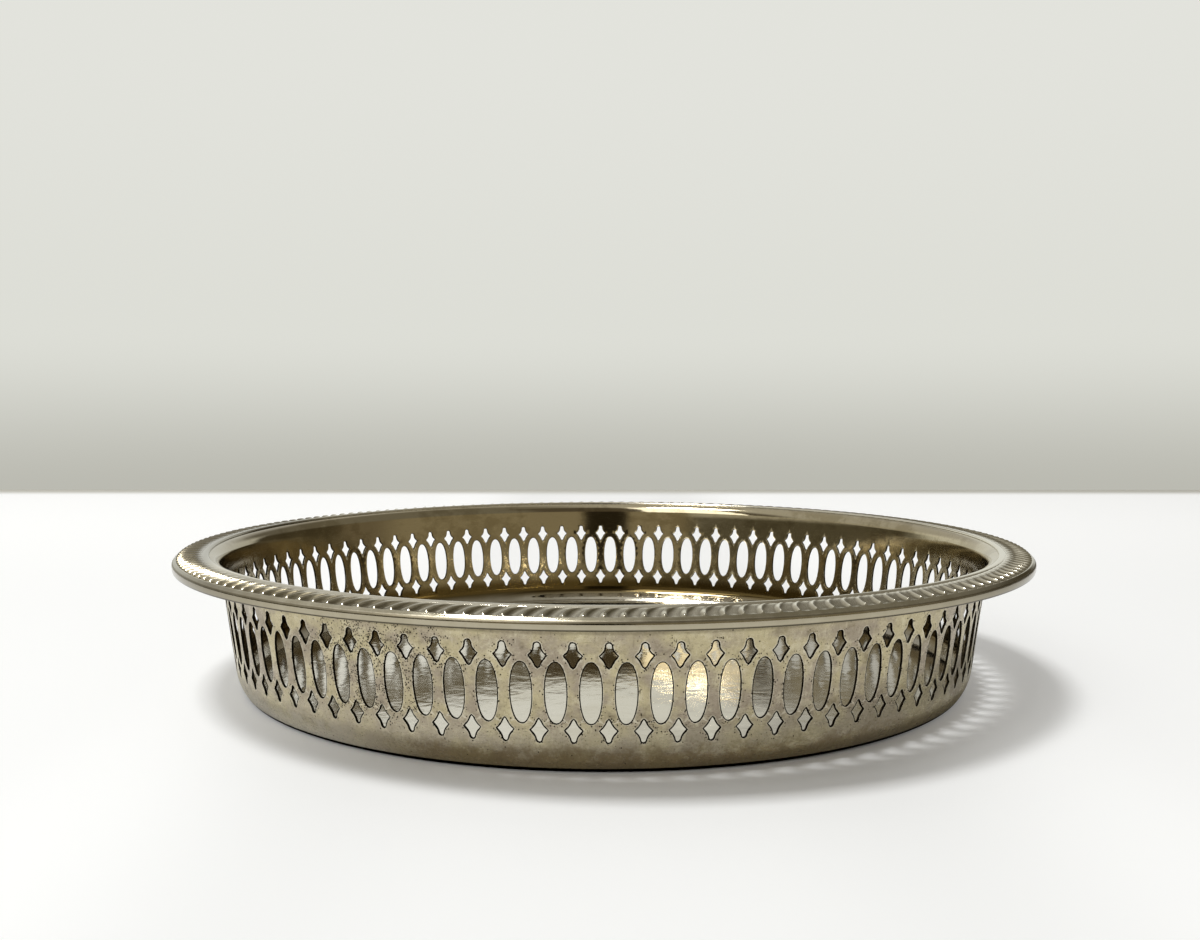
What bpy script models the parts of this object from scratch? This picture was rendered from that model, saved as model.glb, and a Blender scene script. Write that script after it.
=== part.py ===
"""Round gallery tray: a pan drawn from one sheet, with a pierced wall and a flared flange,
and a stamped rope border bedded on the flange in solder. Metres, +Z up, base at z = 0."""
import math

import bmesh
import bpy
from mathutils import Vector
from mathutils.geometry import tessellate_polygon

# The tray as a whole, measured in from the rim
OVERALL_RADIUS = 0.1524
FLANGE_HEIGHT = 0.0468
SEAT_GAP = 0.0003

# The drawn pan, whose flare crowns just outside the border's inner edge
SHEET = 0.0006
SEAM_INSET = 0.0003
CORNER_RADIUS = 0.0045
FLARE_RADIUS = 0.0036
WALL_DRAFT = math.radians(7.33)
FLANGE_SLOPE = math.radians(15)

# The piercing: upright ovals, with a small lozenge above and below each gap between them
OVAL_COUNT = 90
OVAL_POINTS = 12
OVAL_WIDTH_SHARE = 0.61
LOZENGE_WIDTH_SHARE = 0.48
UPPER_LOZENGE_HEIGHT = 0.0066
LOWER_LOZENGE_HEIGHT = 0.0063
PLAIN_BAND_BELOW = 0.0051
PLAIN_BAND_ABOVE = 0.0067
UPPER_TIP_OVERLAP = 0.0013
LOWER_TIP_OVERLAP = 0.0010
FIRST_OVAL_ANGLE = math.radians(2.61)

# The rope border: an inner bead, slanting lobes, a plain margin and a rolled lip over the flange
BORDER_WIDTH = 0.0122
BORDER_RISE = 0.00065
BORDER_SKIN = 0.0003
BEAD_WIDTH = 0.0024
BEAD_RISE = 0.0003
BEAD_FALL = 0.00035
LOBE_COUNT = 186
LOBE_DEPTH = 0.0005
LOBE_SWEEP_SHARE = 1.1
LOBE_STATION_SHARES = (0.0, 0.18, 0.5, 0.82, 1.0)
LOBE_CREST_SHARES = (0.0, 0.8, 1.0, 0.9, 0.0)
LOBE_VALLEY_SHARES = (0.0, 0.0, 0.0, 0.25, 0.5)
MARGIN_WIDTH = 0.0021
MARGIN_STEP = 0.0003
LIP_SKIN = 0.0006
LIP_ROLL = 0.0009
LIP_COVER = 0.0001
LIP_TAPER = 0.0002
COLUMNS_PER_LOBE = 2
COLUMNS_PER_FACET = 4

# The solder fills the wedge between flange and border, thick at the flange's edge and thin inside
SOLDER_THICKNESS = 0.00063
SOLDER_EDGE = 0.00012

ARC_STEPS = 4
LIP_STEPS = 2
WELD_DISTANCE = 0.000001
SHARP_ANGLE = math.radians(35)


def clear_scene():
    for item in list(bpy.data.objects):
        bpy.data.objects.remove(item, do_unlink=True)


def metal(name, colour, roughness, metallic):
    """A Principled material in one colour."""
    material = bpy.data.materials.new(name)
    material.use_nodes = True
    shader = material.node_tree.nodes["Principled BSDF"]
    shader.inputs["Base Color"].default_value = (*colour, 1.0)
    shader.inputs["Roughness"].default_value = roughness
    shader.inputs["Metallic"].default_value = metallic
    material.diffuse_color = (*colour, 1.0)
    return material


def pan_metal():
    return metal("pan_silver_plate", (0.66, 0.61, 0.54), 0.28, 1.0)


def border_metal():
    return metal("border_silver_plate", (0.72, 0.67, 0.60), 0.32, 1.0)


def solder_metal():
    return metal("soft_solder", (0.46, 0.46, 0.45), 0.55, 1.0)


def arc(centre, radius, start, stop, steps):
    """Points (radius, height) along an arc of a section, both ends included."""
    points = []
    for step in range(steps + 1):
        angle = start + (stop - start) * step / steps
        points.append((centre[0] + radius * math.cos(angle), centre[1] + radius * math.sin(angle)))
    return points


def seam_radius():
    """The border's inner edge."""
    return OVERALL_RADIUS - BORDER_WIDTH


def lobes_end_radius():
    """Where the lobes run out into the bead."""
    return seam_radius() + BEAD_WIDTH


def flare_centre():
    """Centre of the flare, which peaks at the flange's height."""
    return seam_radius() + SEAM_INSET, FLANGE_HEIGHT - SHEET - FLARE_RADIUS


def wall_radius(height):
    """Radius of the wall's outer face, which runs down from the flare at the draft."""
    centre = flare_centre()
    tangent_radius = centre[0] - FLARE_RADIUS * math.cos(WALL_DRAFT)
    tangent_height = centre[1] + FLARE_RADIUS * math.sin(WALL_DRAFT)
    return tangent_radius - (tangent_height - height) * math.tan(WALL_DRAFT)


def corner_centre():
    """Centre of the rounding between floor and wall, tangent to both outer faces."""
    tangent_height = CORNER_RADIUS * (1 - math.sin(WALL_DRAFT))
    return wall_radius(tangent_height) - CORNER_RADIUS * math.cos(WALL_DRAFT), CORNER_RADIUS


def flare_end():
    """Where the flare's upper face runs out into the straight flange."""
    centre = flare_centre()
    reach = FLARE_RADIUS + SHEET
    return centre[0] + reach * math.sin(FLANGE_SLOPE), centre[1] + reach * math.cos(FLANGE_SLOPE)


def flange_top(radius):
    """Height of the pan's upper face, over the flare and out along the flange."""
    centre = flare_centre()
    end = flare_end()
    if radius > end[0]:
        return end[1] - (radius - end[0]) * math.tan(FLANGE_SLOPE)
    return centre[1] + math.sqrt((FLARE_RADIUS + SHEET) ** 2 - (radius - centre[0]) ** 2)


def flange_bottom(radius):
    """Height of the flange's lower face, outside the flare."""
    return flange_top(radius) - SHEET / math.cos(FLANGE_SLOPE)


def flange_edge_radius():
    """The flange ends inside the border's lip."""
    return OVERALL_RADIUS - LIP_SKIN - SEAT_GAP - SHEET * math.sin(FLANGE_SLOPE)


def ring(bm, radius, height, count, turn=0.0):
    """A closed ring of vertices, counted anticlockwise from above, from the tray's front."""
    vertices = []
    for step in range(count):
        angle = turn + 2 * math.pi * step / count
        place = Vector((radius * math.sin(angle), -radius * math.cos(angle), height))
        vertices.append(bm.verts.new(place))
    return vertices


def join_rings(bm, first, second):
    """Quads between rings of one count, or triangles where the first has more vertices."""
    per_facet = len(first) // len(second)
    for facet, corner in enumerate(second):
        after = second[(facet + 1) % len(second)]
        start = facet * per_facet
        run = [first[(start + step) % len(first)] for step in range(per_facet + 1)]
        if per_facet == 1:
            bm.faces.new((run[0], run[1], after, corner))
            continue
        half = per_facet // 2
        for step in range(per_facet):
            apex = corner if step < half else after
            bm.faces.new((run[step], run[step + 1], apex))
        bm.faces.new((run[half], after, corner))


def finish(name, bm, material):
    """Makes the named object from a bmesh, shaded smooth but for its edges."""
    mesh = bpy.data.meshes.new(name)
    bm.to_mesh(mesh)
    bm.free()
    mesh.shade_smooth()
    mesh.set_sharp_from_angle(angle=SHARP_ANGLE)
    mesh.materials.append(material)
    item = bpy.data.objects.new(name, mesh)
    bpy.context.scene.collection.objects.link(item)
    return item


def oval_outline(bottom, top):
    """An upright ellipse about the middle of a cell, x in pitches and y as height."""
    points = []
    for step in range(OVAL_POINTS):
        angle = 2 * math.pi * step / OVAL_POINTS + math.pi / 2
        across = OVAL_WIDTH_SHARE / 2 * math.cos(angle)
        points.append((across, (bottom + top) / 2 + (top - bottom) / 2 * math.sin(angle)))
    return points


def cell_side(bottom, top, lower, upper):
    """Right side of a cell, from the bottom up, round its halves of both lozenges."""
    side = 0.5
    notch = side - LOZENGE_WIDTH_SHARE / 2
    points = [(side, bottom)]
    for low, high in (lower, upper):
        points += [(side, low), (notch, (low + high) / 2), (side, high)]
    return points + [(side, top)]


def cell_pattern(bottom, top):
    """The outline of one cell of the wall, with its half lozenges, and the oval in it."""
    low = bottom + PLAIN_BAND_BELOW
    high = top - PLAIN_BAND_ABOVE
    lower = (low, low + LOWER_LOZENGE_HEIGHT)
    upper = (high - UPPER_LOZENGE_HEIGHT, high)
    right = cell_side(bottom, top, lower, upper)
    left = [(-x, y) for x, y in reversed(right)]
    return right + left, oval_outline(lower[1] - LOWER_TIP_OVERLAP, upper[0] + UPPER_TIP_OVERLAP)


def pierced_wall(bm, bottom, top):
    """The wall's outer face between two heights, one cell for each oval."""
    pitch = 2 * math.pi / OVAL_COUNT
    outline, oval = cell_pattern(bottom, top)
    around = pitch * wall_radius(bottom)
    flat = [[Vector((x * around, y, 0.0)) for x, y in loop] for loop in (outline, oval)]
    triangles = tessellate_polygon(flat)
    for cell in range(OVAL_COUNT):
        middle = FIRST_OVAL_ANGLE + cell * pitch
        vertices = []
        for x, height in outline + oval:
            angle = middle + x * pitch
            radius = wall_radius(height)
            place = Vector((radius * math.sin(angle), -radius * math.cos(angle), height))
            vertices.append(bm.verts.new(place))
        for corners in triangles:
            bm.faces.new([vertices[corner] for corner in corners])


def lathe_strip(bm, section, turn):
    """Joins the rings of an open section and gives back the first ring."""
    rings = [ring(bm, radius, height, OVAL_COUNT, turn) for radius, height in section]
    for first, second in zip(rings, rings[1:]):
        join_rings(bm, first, second)
    return rings[0]


def make_pan():
    """The pan's outer face, floor to flange, thickened inwards by the sheet."""
    turn = FIRST_OVAL_ANGLE + math.pi / OVAL_COUNT
    corner = arc(corner_centre(), CORNER_RADIUS, -math.pi / 2, -WALL_DRAFT, ARC_STEPS)
    flare = arc(flare_centre(), FLARE_RADIUS, math.pi - WALL_DRAFT, math.pi / 2 - FLANGE_SLOPE, ARC_STEPS)
    edge = flange_edge_radius()
    bm = bmesh.new()
    floor_edge = lathe_strip(bm, corner, turn)
    bm.faces.new(floor_edge)
    pierced_wall(bm, corner[-1][1], flare[0][1])
    lathe_strip(bm, flare + [(edge, flange_bottom(edge))], turn)
    bmesh.ops.remove_doubles(bm, verts=bm.verts, dist=WELD_DISTANCE)
    bmesh.ops.recalc_face_normals(bm, faces=bm.faces)
    lowest = min(bm.faces, key=lambda face: face.calc_center_median().z)
    if lowest.normal.z > 0:
        bmesh.ops.reverse_faces(bm, faces=bm.faces)
    pan = finish("pierced_pan", bm, pan_metal())
    sheet = pan.modifiers.new("sheet", "SOLIDIFY")
    sheet.thickness = SHEET
    sheet.offset = -1.0
    sheet.use_even_offset = True
    return pan


def face_start():
    """Height of the border's face where the lobes run out into the bead."""
    return flange_top(lobes_end_radius()) + SEAT_GAP + BORDER_RISE


def face_fall():
    """Fall of the face for each step outwards, which leaves room for the solder at the flange's edge."""
    outer = flange_edge_radius()
    above_flange = 2 * SEAT_GAP + SOLDER_THICKNESS + BORDER_SKIN + LOBE_DEPTH
    drop = face_start() - flange_top(outer) - above_flange
    return drop / (outer - lobes_end_radius())


def face_height(radius):
    """Height of the border's face, along the crests of its lobes."""
    return face_start() - (radius - lobes_end_radius()) * face_fall()


def underside_height(radius):
    """The border's back follows its face, but never comes closer to the flange than the gap."""
    back = face_height(radius) - LOBE_DEPTH - BORDER_SKIN
    return max(back, flange_top(radius) + SEAT_GAP)


def underside_lift():
    """Radius at which the border's back leaves the flange."""
    shortfall = LOBE_DEPTH + BORDER_SKIN - BORDER_RISE
    return lobes_end_radius() + max(shortfall, 0) / (math.tan(FLANGE_SLOPE) - face_fall())


def lobed_rings(bm, outer, inner):
    """Rings across the lobes, from the margin in to the bead, each lobe sweeping as it goes."""
    count = LOBE_COUNT * COLUMNS_PER_LOBE
    pitch = 2 * math.pi / LOBE_COUNT
    rings = []
    for share, crest, valley in zip(LOBE_STATION_SHARES, LOBE_CREST_SHARES, LOBE_VALLEY_SHARES):
        radius = outer + (inner - outer) * share
        lowest = face_height(radius) - LOBE_DEPTH
        line = ring(bm, radius, lowest + LOBE_DEPTH * valley, count, LOBE_SWEEP_SHARE * pitch * share * share)
        for vertex in line[::COLUMNS_PER_LOBE]:
            vertex.co.z = lowest + LOBE_DEPTH * max(crest, valley)
        rings.append(line)
    return rings


def bead_section():
    """The plain bead, from its crown in to the border's inner edge."""
    inner = seam_radius()
    crown = face_start() + BEAD_RISE
    return [(inner + BEAD_WIDTH / 2, crown), (inner, crown - BEAD_FALL)]


def underside_section():
    """The underside, over the flare, along the flange and clear of it, and the back of the lip."""
    lip_inside = OVERALL_RADIUS - LIP_SKIN
    radii = [seam_radius(), flare_end()[0], underside_lift(), lip_inside]
    lower = flange_bottom(flange_edge_radius()) - LIP_COVER
    return [(radius, underside_height(radius)) for radius in radii] + [(lip_inside, lower)]


def lip_section(margin_start):
    """The lip's lower edge, the roll to the outermost edge, and the margin in to the lobes."""
    lower = flange_bottom(flange_edge_radius()) - LIP_COVER
    height = face_height(margin_start)
    centre = (OVERALL_RADIUS - LIP_ROLL, height - LIP_ROLL)
    roll = arc(centre, LIP_ROLL, 0, math.pi / 2, LIP_STEPS)
    return [(OVERALL_RADIUS - LIP_TAPER, lower)] + roll + [(margin_start + MARGIN_STEP, height)]


def make_border():
    """The rope border as one closed ring: its lobed face, its bead, its underside and its lip."""
    margin_start = OVERALL_RADIUS - MARGIN_WIDTH
    facets = LOBE_COUNT * COLUMNS_PER_LOBE // COLUMNS_PER_FACET
    sweep = LOBE_SWEEP_SHARE * 2 * math.pi / LOBE_COUNT
    bm = bmesh.new()
    lobed = lobed_rings(bm, margin_start, lobes_end_radius())
    bead = [ring(bm, *point, facets, sweep) for point in bead_section()]
    back = underside_section() + lip_section(margin_start)
    plain = bead + [ring(bm, *point, facets) for point in back]
    for rings in (lobed, plain):
        for first, second in zip(rings, rings[1:]):
            join_rings(bm, first, second)
    join_rings(bm, lobed[-1], plain[0])
    join_rings(bm, lobed[0], plain[-1])
    bmesh.ops.recalc_face_normals(bm, faces=bm.faces)
    return finish("rope_border", bm, border_metal())


def solder_section():
    """The solder's wedge, from its thin inner edge out to the flange's edge."""
    inner = underside_lift() + (SEAT_GAP + SOLDER_EDGE) / (math.tan(FLANGE_SLOPE) - face_fall())
    outer = flange_edge_radius()
    lower = [(radius, flange_top(radius) + SEAT_GAP) for radius in (inner, outer)]
    upper = [(radius, underside_height(radius) - SEAT_GAP) for radius in (outer, inner)]
    return lower + upper


def make_solder():
    """The solder that joins border and flange, in the wedge-shaped hollow between them."""
    bm = bmesh.new()
    rings = [ring(bm, radius, height, OVAL_COUNT) for radius, height in solder_section()]
    for first, second in zip(rings, rings[1:] + rings[:1]):
        join_rings(bm, first, second)
    bmesh.ops.recalc_face_normals(bm, faces=bm.faces)
    return finish("solder_wedge", bm, solder_metal())


clear_scene()
make_pan()
make_border()
make_solder()
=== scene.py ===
# %% [markdown]
# # A round gallery tray in worn silver plate
# The tray is a pan drawn from one sheet of metal. Its wall is pierced all round with
# upright ovals and small lozenges, and flares out at the top into a narrow flange.
# A stamped border with a rope pattern is soldered on that flange and rolled over its edge.
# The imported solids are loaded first. They fix every size, so the pieces below are made
# in the same frame, in metres, with the tray standing on z = 0.

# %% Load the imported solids
import math

import bmesh
import bpy
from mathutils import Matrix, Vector
from mathutils.geometry import delaunay_2d_cdt


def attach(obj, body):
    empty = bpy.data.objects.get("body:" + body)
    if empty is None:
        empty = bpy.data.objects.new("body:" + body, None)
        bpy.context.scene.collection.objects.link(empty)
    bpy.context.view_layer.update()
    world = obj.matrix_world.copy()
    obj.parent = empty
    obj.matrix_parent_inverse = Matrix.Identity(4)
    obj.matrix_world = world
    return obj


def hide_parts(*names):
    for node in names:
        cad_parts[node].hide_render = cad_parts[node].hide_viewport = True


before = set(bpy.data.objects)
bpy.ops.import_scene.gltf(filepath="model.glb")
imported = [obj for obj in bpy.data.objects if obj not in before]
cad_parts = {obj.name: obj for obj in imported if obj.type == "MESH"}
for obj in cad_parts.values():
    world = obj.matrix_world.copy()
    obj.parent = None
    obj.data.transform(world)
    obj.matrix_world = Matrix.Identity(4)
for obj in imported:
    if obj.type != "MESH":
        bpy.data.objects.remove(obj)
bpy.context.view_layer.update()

# %% [markdown]
# ## The camera
# The photograph looks down on the tray from just above the table. A camera fitted to the
# rim, the foot and the piercings stands 442 mm from the tray's axis and 102 mm high,
# pitched down by 3.8 degrees. Fixing it first lets every later piece be judged in its view.

# %% Place the camera
camera_data = bpy.data.cameras.new("camera")
camera_data.sensor_width = 36
camera_data.lens = 35.65
camera_data.clip_start = 0.01
camera = bpy.data.objects.new("camera", camera_data)
camera.location = (0, -0.44228, 0.10215)
camera.rotation_euler = (math.radians(86.207), 0, math.radians(0.170))
bpy.context.scene.collection.objects.link(camera)
bpy.context.scene.camera = camera
print("camera lens", round(camera_data.lens, 2), "mm")

# %% [markdown]
# ## The sizes that the pieces share
# The wall is a cone that leans out by 7.33 degrees between two roundings: the corner at
# the floor and the flare under the rim. The corner bends in two steps, as on spun ware: a
# wide arc, until the wall lies 36 degrees off upright, and a tight one down to the flat.
# Only the tight one faces the dark gap at the table, which keeps the black line there thin.

# %% Sizes of the pan
SHEET = 0.0006
DRAFT = math.radians(7.33)
WIDE_ARC = 0.015
TIGHT_ARC = 0.0016
ARCS_MEET = math.radians(36)
FLARE_RADIUS = 0.0036
FLARE_CENTRE = (0.1405, 0.0426)
FLANGE_SLOPE = math.radians(15)
FLANGE_EDGE = 0.151344
OVALS = 90
OVAL_PITCH = 2 * math.pi / OVALS
FIRST_OVAL = math.radians(2.61)
WALL_TOP = FLARE_CENTRE[1] + FLARE_RADIUS * math.sin(DRAFT)
ARCS_HEIGHT = TIGHT_ARC * (1 - math.sin(ARCS_MEET))
WALL_BOTTOM = ARCS_HEIGHT + WIDE_ARC * (math.sin(ARCS_MEET) - math.sin(DRAFT))


def wall_radius(height):
    """Radius of the wall's outer face."""
    at_top = FLARE_CENTRE[0] - FLARE_RADIUS * math.cos(DRAFT)
    return at_top - (WALL_TOP - height) * math.tan(DRAFT)


print("wall from", round(WALL_BOTTOM * 1000, 2), "to", round(WALL_TOP * 1000, 2), "mm high")

# %% [markdown]
# ## The piercings
# A fly press cut every hole with the same three punches, so one cell of the wall holds the
# whole pattern: an oval in its middle and half of an upper and a lower lozenge on each side.
# The ovals are a little fuller than ellipses. The upper lozenge has a round neck and
# drawn-in sides, and the lower one ends in a small round foot. Each outline is written as
# shares of its half width and height, so the shape stays readable.

# %% Outlines of the punches
OVAL_HALF_WIDTH = 0.305
OVAL_FULLNESS = 2.12
OVAL_POINTS = 36
LOZENGE_HALF_WIDTH = 0.242
LOWER_LOZENGE = (0.00903, 0.01538)
UPPER_LOZENGE = (0.02976, 0.03646)
OVAL = (0.01425, 0.03113)
UPPER_SHARES = (
    (0.0, 1.0), (0.18, 0.985), (0.29, 0.94), (0.335, 0.87), (0.36, 0.79), (0.45, 0.69),
    (0.62, 0.60), (0.85, 0.52), (1.0, 0.483), (0.87, 0.435), (0.69, 0.365), (0.50, 0.27),
    (0.34, 0.165), (0.19, 0.06), (0.0, 0.0))
LOWER_SHARES = (
    (0.0, 1.0), (0.10, 0.955), (0.20, 0.89), (0.35, 0.78), (0.57, 0.665), (0.82, 0.57),
    (1.0, 0.52), (0.82, 0.445), (0.59, 0.355), (0.41, 0.25), (0.31, 0.16), (0.26, 0.08),
    (0.16, 0.02), (0.0, 0.0))


def to_flat(share, height):
    """A point of the cell, laid flat in metres, from its share of the pitch and its height."""
    return Vector((share * OVAL_PITCH * wall_radius(height), height / math.cos(DRAFT)))


def oval_outline():
    """The oval's outline, as a closed run of flat points."""
    middle = (OVAL[0] + OVAL[1]) / 2
    reach = (OVAL[1] - OVAL[0]) / 2
    points = []
    for step in range(OVAL_POINTS):
        angle = 2 * math.pi * step / OVAL_POINTS
        across = math.copysign(abs(math.sin(angle)) ** (2 / OVAL_FULLNESS), math.sin(angle))
        up = math.copysign(abs(math.cos(angle)) ** (2 / OVAL_FULLNESS), math.cos(angle))
        points.append(to_flat(OVAL_HALF_WIDTH * across, middle + reach * up))
    return points


def half_lozenge(shares, span, side):
    """Half of a lozenge on the cell's left (-1) or right (1) border, from its top down."""
    points = []
    for across, up in shares:
        share = side * (0.5 - LOZENGE_HALF_WIDTH * across)
        points.append(to_flat(share, span[0] + (span[1] - span[0]) * up))
    return points


oval = oval_outline()
halves = [half_lozenge(shares, span, side) for side in (-1, 1)
          for shares, span in ((UPPER_SHARES, UPPER_LOZENGE), (LOWER_SHARES, LOWER_LOZENGE))]
print("one cell has", len(oval), "points round its oval and", sum(map(len, halves)), "on its half lozenges")

# %% [markdown]
# ## One cell of the wall
# The cell could be cut with booleans, but 270 holes in a thin cone leave slivers. Instead a
# constrained triangulation joins the outlines to a second line drawn 0.3 mm outside each,
# to sparse points beyond that line, and to a loose grid between them. The vertices on an
# outline sink by 0.09 mm, because a punch drags the metal in as it cuts, and that soft
# shoulder catches the light. Every vertex also keeps how near a hole it is, which the
# plate's finish uses. That is counted in widths of the tarnish line, and it is zero where
# the tray has no holes.

# %% Triangulate the cell
SHOULDER = 0.0003
SINK = 0.00009
COLUMNS = 4
GRID = 0.0021
GRID_COLUMNS = 8
BEYOND_SHOULDER = 2
CLEAR_BEYOND = 1.8
CLEAR_ON_GRID = 3.4
SAME_POINT = 1e-7
OVAL_LINE = 0.00029
LOZENGE_LINE = 0.00038
FAR = 8.0


def border_spot(side, tip, step):
    """The point of the cell's left or right border that lies a step above or below a tip."""
    return to_flat(side * 0.5, tip.y * math.cos(DRAFT) + step)


def shoulder_line(points, turn):
    """A line outside an outline, without its ends where the outline is open."""
    line = []
    for before, point, after in zip(points, points[1:], points[2:]):
        along = (after - before).normalized()
        line.append(point + Vector((along.y, -along.x)) * turn * SHOULDER)
    return line


def half_shoulder(half, side):
    """The shoulder of a half lozenge, from the border above it to the border below it."""
    above = border_spot(side, half[0], SHOULDER)
    below = border_spot(side, half[-1], -SHOULDER)
    return [above] + shoulder_line(half, side) + [below]


def distance_to_run(point, run):
    """Distance from a point to a run of points."""
    best = 1.0
    for first, second in zip(run, run[1:]):
        step = second - first
        share = max(0.0, min(1.0, (point - first).dot(step) / step.length_squared))
        best = min(best, (point - first - step * share).length)
    return best


def inside(point, run):
    """Whether a closed run of points holds a point."""
    crossings = 0
    for first, second in zip(run, run[1:] + run[:1]):
        if (first.y > point.y) != (second.y > point.y):
            cut = first.x + (point.y - first.y) / (second.y - first.y) * (second.x - first.x)
            crossings += cut > point.x
    return crossings % 2 == 1


def border_side(side):
    """One side of the cell from the bottom up: plain border between its half lozenges."""
    upper, lower = [half[::-1] for half in (halves[0:2] if side < 0 else halves[2:4])]
    stops = [(WALL_BOTTOM, lower[0]), (lower[-1], upper[0]), (upper[-1], WALL_TOP)]
    side_run = []
    for run, (start, stop) in zip(([], lower, upper), stops):
        side_run += run
        low = start if isinstance(start, float) else start.y * math.cos(DRAFT) + SHOULDER
        high = stop if isinstance(stop, float) else stop.y * math.cos(DRAFT) - SHOULDER
        steps = max(1, round((high - low) / GRID))
        side_run += [to_flat(side * 0.5, low + (high - low) * step / steps) for step in range(steps + 1)]
    return side_run


def cell_edge(height, steps):
    """Points between the corners of the cell's lower or upper edge."""
    return [to_flat(-0.5 + step / steps, height) for step in range(1, steps)]


left, right = border_side(-1), border_side(1)
outline = right + cell_edge(WALL_TOP, COLUMNS)[::-1] + left[::-1] + cell_edge(WALL_BOTTOM, COLUMNS)
runs = [oval + oval[:1]] + halves
around_oval = oval[-1:] + oval + oval[:1]
oval_shoulder = shoulder_line(around_oval, -1)
half_shoulders = [half_shoulder(half, side) for half, side in zip(halves, (-1, -1, 1, 1))]

points, edges = [], []
drawn = [(run, True) for run in (outline, oval, oval_shoulder)] + [(run, False) for run in half_shoulders]
for run, closed in drawn:
    start = len(points)
    points += run
    edges += [(start + step, start + step + 1) for step in range(len(run) - 1)]
    edges += [(start + len(run) - 1, start)] if closed else []

for run, turn in [(around_oval, -1)] + list(zip(halves, (-1, -1, 1, 1))):
    for before, spot, after in list(zip(run, run[1:], run[2:]))[::2]:
        along = (after - before).normalized()
        spot = spot + Vector((along.y, -along.x)) * turn * BEYOND_SHOULDER * SHOULDER
        nearest = min(distance_to_run(spot, other) for other in runs)
        if inside(spot, outline) and nearest > CLEAR_BEYOND * SHOULDER:
            points.append(spot)

rows = round((WALL_TOP - WALL_BOTTOM) / GRID)
for row in range(1, rows):
    for column in range(GRID_COLUMNS):
        share = (column + 0.5) / GRID_COLUMNS - 0.5
        spot = to_flat(share, WALL_BOTTOM + (WALL_TOP - WALL_BOTTOM) * row / rows)
        nearest = min(distance_to_run(spot, run) for run in runs)
        if inside(spot, outline) and not inside(spot, oval) and nearest > CLEAR_ON_GRID * SHOULDER:
            points.append(spot)

joined = delaunay_2d_cdt(points, edges, [], 0, SAME_POINT)
flat_points, triangles = joined[0], joined[2]
solid = []
for triangle in triangles:
    middle = sum((flat_points[corner] for corner in triangle), Vector((0.0, 0.0))) / 3
    if inside(middle, outline) and not inside(middle, oval):
        solid.append(list(triangle))
print("the cell has", len(flat_points), "vertices and", len(solid), "triangles")

# %% [markdown]
# ## Bend the cell round the wall
# The flat cell is wrapped on the cone here, once, so that the node tree that repeats it only
# has to turn copies. How near each vertex is to a hole goes along as a mesh attribute.

# %% Wrap the cell


def keep_values(mesh, name, values):
    """Stores one number for each vertex."""
    attribute = mesh.attributes.new(name, "FLOAT", "POINT")
    attribute.data.foreach_set("value", values)


def wrap_cell():
    """The cell on the cone, about the +X direction."""
    places, nearness = [], []
    for point in flat_points:
        height = point.y * math.cos(DRAFT)
        gaps = [distance_to_run(point, run) for run in runs]
        distance = min(gaps)
        angle = point.x / wall_radius(height)
        radius = wall_radius(height) - SINK * max(0.0, 1 - distance / SHOULDER)
        places.append((radius * math.cos(angle), radius * math.sin(angle), height))
        nearness.append(max(0.0, FAR - min(gaps[0] / OVAL_LINE, min(gaps[1:]) / LOZENGE_LINE)))
    mesh = bpy.data.meshes.new("wall_cell")
    mesh.from_pydata(places, [], solid)
    keep_values(mesh, "hole_nearness", nearness)
    return mesh


wall_cell = bpy.data.objects.new("wall_cell", wrap_cell())
print("wall cell:", len(wall_cell.data.polygons), "faces")

# %% [markdown]
# ## The sections that are spun
# Everything on the tray that isn't pierced or lobed is the same all the way round, like
# work from a lathe. Each such part is drawn once as a line in section. The pan has two: the
# floor with its corner, and the flare with the flange. The border's own line follows below.

# %% Draw the pan's sections
PROFILE_CIRCLE = 0.1
FLOOR_RINGS = (0.0, 0.03, 0.07, 0.105)
TIGHT_STEPS = 5
WIDE_STEPS = 7
FLARE_STEPS = 9


def arc(centre, radius, start, stop, steps):
    """Points (radius, height) along an arc, both ends included."""
    turns = [start + (stop - start) * step / steps for step in range(steps + 1)]
    return [(centre[0] + radius * math.cos(turn), centre[1] + radius * math.sin(turn)) for turn in turns]


def section_object(name, lines):
    """A curve with one straight-run spline for each section line, for the tree to spin."""
    curve = bpy.data.curves.new(name, "CURVE")
    curve.dimensions = "2D"
    for line in lines:
        spline = curve.splines.new("POLY")
        spline.points.add(len(line) - 1)
        for point, (radius, height) in zip(spline.points, line):
            point.co = (radius - PROFILE_CIRCLE, -height, 0.0, 1.0)
    return bpy.data.objects.new(name, curve)


wide_centre = (wall_radius(WALL_BOTTOM) - WIDE_ARC * math.cos(DRAFT),
               WALL_BOTTOM + WIDE_ARC * math.sin(DRAFT))
tight_centre = (wide_centre[0] + (WIDE_ARC - TIGHT_ARC) * math.cos(ARCS_MEET), TIGHT_ARC)
floor_line = [(radius, 0.0) for radius in FLOOR_RINGS]
floor_line += arc(tight_centre, TIGHT_ARC, -math.pi / 2, -ARCS_MEET, TIGHT_STEPS)[:-1]
floor_line += arc(wide_centre, WIDE_ARC, -ARCS_MEET, -DRAFT, WIDE_STEPS)
flange_line = arc(FLARE_CENTRE, FLARE_RADIUS, math.pi - DRAFT, math.pi / 2 - FLANGE_SLOPE, FLARE_STEPS)
flange_start = flange_line[-1]
flange_line += [(FLANGE_EDGE, flange_start[1] - (FLANGE_EDGE - flange_start[0]) * math.tan(FLANGE_SLOPE))]
pan_section = section_object("pan_section", [floor_line, flange_line])
print("the pan's sections have", len(floor_line), "and", len(flange_line), "points")

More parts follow.
